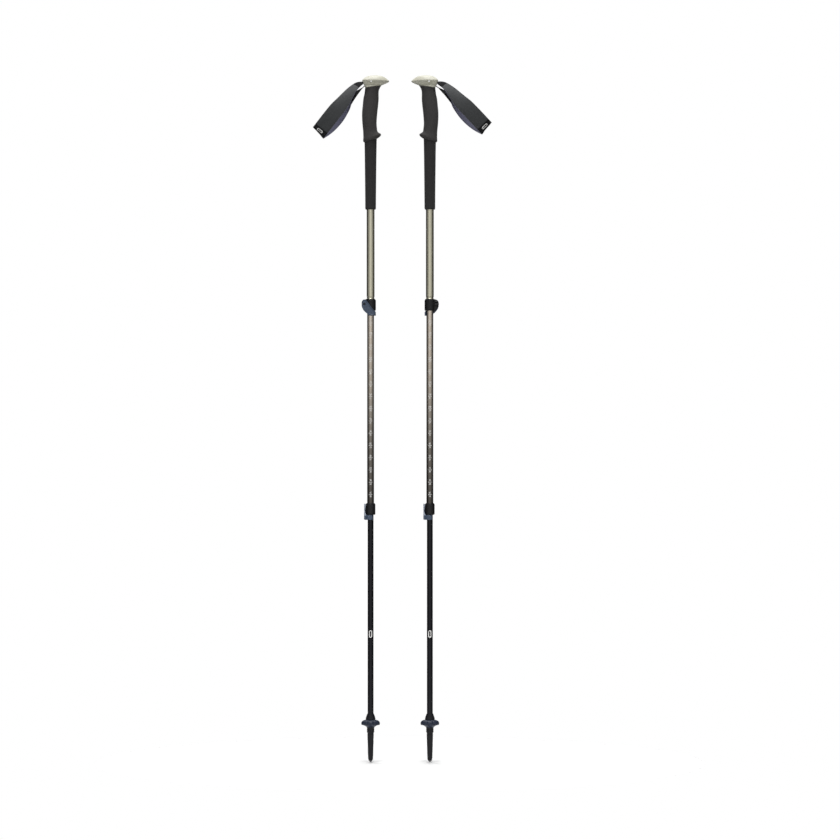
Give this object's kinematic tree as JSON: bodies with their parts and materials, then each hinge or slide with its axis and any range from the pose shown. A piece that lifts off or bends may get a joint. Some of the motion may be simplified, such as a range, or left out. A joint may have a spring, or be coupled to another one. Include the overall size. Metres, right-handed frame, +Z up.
{
  "type": "trekking poles",
  "caption": "Telescoping trekking poles with foam grips and lower foam sleeves, mushroom heads, padded wrist straps, lever clamps, small baskets and carbide tips.",
  "frame": {"origin": "on the ground, midway between the two tips", "axes": "+Z up along both poles, +X from the left pole towards the right one, -Y towards the side that the strap pads face"},
  "size_m": [0.3641, 0.0443, 1.402],
  "materials": {
    "bone_plastic": "satin moulded, bone coloured",
    "grip_foam": "closed-cell foam, matt, fine grain",
    "champagne_aluminium": "anodised champagne, satin",
    "taupe_aluminium": "anodised taupe fading to dark grey, satin, white scale",
    "black_aluminium": "anodised black, satin",
    "black_plastic": "moulded glass-filled plastic, fine texture",
    "lever_plastic": "moulded, slate blue",
    "dark_steel": "blackened steel",
    "bright_steel": "polished stainless steel",
    "tip_plastic": "moulded, satin",
    "carbide": "ground tungsten carbide",
    "basket_plastic": "moulded flexible plastic, dark navy",
    "strap_webbing": "woven polyester with a brushed slate lining"
  },
  "bodies": {
    "left_handle": {"left_grip_head": "bone_plastic", "left_strap_pin": "bright_steel", "left_strap_anchor": "strap_webbing", "left_strap_wedge": "black_plastic", "left_grip_foam": "grip_foam", "left_grip_extension": "grip_foam", "left_upper_tube": "champagne_aluminium", "left_upper_collar": "black_plastic", "left_upper_clamp_screw": "dark_steel", "left_upper_cam_washer": "bright_steel", "left_upper_barrel_nut": "dark_steel"},
    "left_upper_lever": {"left_upper_lever": "lever_plastic"},
    "left_middle_slider": {"left_middle_bushing": "black_plastic"},
    "left_middle": {"left_middle_tube": "taupe_aluminium", "left_lower_collar": "black_plastic", "left_lower_clamp_screw": "dark_steel", "left_lower_cam_washer": "bright_steel", "left_lower_barrel_nut": "dark_steel"},
    "left_lower_lever": {"left_lower_lever": "lever_plastic"},
    "left_lower_slider": {"left_lower_bushing": "black_plastic"},
    "left_lower": {"left_lower_tube": "black_aluminium", "left_tip_ferrule": "tip_plastic", "left_carbide_tip": "carbide", "left_basket": "basket_plastic"},
    "left_strap": {"left_wrist_strap": "strap_webbing"},
    "right_handle": {"right_grip_head": "bone_plastic", "right_strap_pin": "bright_steel", "right_strap_anchor": "strap_webbing", "right_strap_wedge": "black_plastic", "right_grip_foam": "grip_foam", "right_grip_extension": "grip_foam", "right_upper_tube": "champagne_aluminium", "right_upper_collar": "black_plastic", "right_upper_clamp_screw": "dark_steel", "right_upper_cam_washer": "bright_steel", "right_upper_barrel_nut": "dark_steel"},
    "right_upper_lever": {"right_upper_lever": "lever_plastic"},
    "right_middle_slider": {"right_middle_bushing": "black_plastic"},
    "right_middle": {"right_middle_tube": "taupe_aluminium", "right_lower_collar": "black_plastic", "right_lower_clamp_screw": "dark_steel", "right_lower_cam_washer": "bright_steel", "right_lower_barrel_nut": "dark_steel"},
    "right_lower_lever": {"right_lower_lever": "lever_plastic"},
    "right_lower_slider": {"right_lower_bushing": "black_plastic"},
    "right_lower": {"right_lower_tube": "black_aluminium", "right_tip_ferrule": "tip_plastic", "right_carbide_tip": "carbide", "right_basket": "basket_plastic"},
    "right_strap": {"right_wrist_strap": "strap_webbing"}
  },
  "joints": [
    {"name": "left_upper_lever_swing", "type": "hinge", "parent": "left_handle", "child": "left_upper_lever", "pos_m": [-0.0735, -0.0096, 0.935], "axis": [0, 0, -1], "range_deg": [0, 95]},
    {"name": "left_middle_slide", "type": "slide", "parent": "left_handle", "child": "left_middle_slider", "axis": [0, 0, 1], "range_m": [0, 0.378]},
    {"name": "left_middle_twist", "type": "hinge", "parent": "left_middle_slider", "child": "left_middle", "pos_m": [-0.0605, 0, 0.7], "axis": [0, 0, 1], "continuous": true},
    {"name": "left_lower_lever_swing", "type": "hinge", "parent": "left_middle", "child": "left_lower_lever", "pos_m": [-0.0701, 0.013, 0.5184], "axis": [0, 0, -1], "range_deg": [0, 95]},
    {"name": "left_lower_slide", "type": "slide", "parent": "left_middle", "child": "left_lower_slider", "axis": [0, 0, 1], "range_m": [0, 0.385]},
    {"name": "left_lower_twist", "type": "hinge", "parent": "left_lower_slider", "child": "left_lower", "pos_m": [-0.0605, 0, 0.3], "axis": [0, 0, 1], "continuous": true},
    {"name": "left_strap_swing", "type": "hinge", "parent": "left_handle", "child": "left_strap", "pos_m": [-0.0759, 0, 1.3848], "axis": [0, 1, 0], "range_deg": [-18, 75]},
    {"name": "right_upper_lever_swing", "type": "hinge", "parent": "right_handle", "child": "right_upper_lever", "pos_m": [0.0735, 0.0096, 0.935], "axis": [0, 0, -1], "range_deg": [0, 95]},
    {"name": "right_middle_slide", "type": "slide", "parent": "right_handle", "child": "right_middle_slider", "axis": [0, 0, 1], "range_m": [0, 0.378]},
    {"name": "right_middle_twist", "type": "hinge", "parent": "right_middle_slider", "child": "right_middle", "pos_m": [0.0605, 0, 0.7], "axis": [0, 0, 1], "continuous": true},
    {"name": "right_lower_lever_swing", "type": "hinge", "parent": "right_middle", "child": "right_lower_lever", "pos_m": [0.0509, 0.013, 0.5184], "axis": [0, 0, -1], "range_deg": [0, 95]},
    {"name": "right_lower_slide", "type": "slide", "parent": "right_middle", "child": "right_lower_slider", "axis": [0, 0, 1], "range_m": [0, 0.385]},
    {"name": "right_lower_twist", "type": "hinge", "parent": "right_lower_slider", "child": "right_lower", "pos_m": [0.0605, 0, 0.3], "axis": [0, 0, 1], "continuous": true},
    {"name": "right_strap_swing", "type": "hinge", "parent": "right_handle", "child": "right_strap", "pos_m": [0.0759, 0, 1.3848], "axis": [0, -1, 0], "range_deg": [-23.5, 69.5]},
    {"name": "pole_spacing_slide", "type": "slide", "parent": "left_handle", "child": "right_handle", "axis": [1, 0, 0], "range_m": [0, 0.25]}
  ]
}
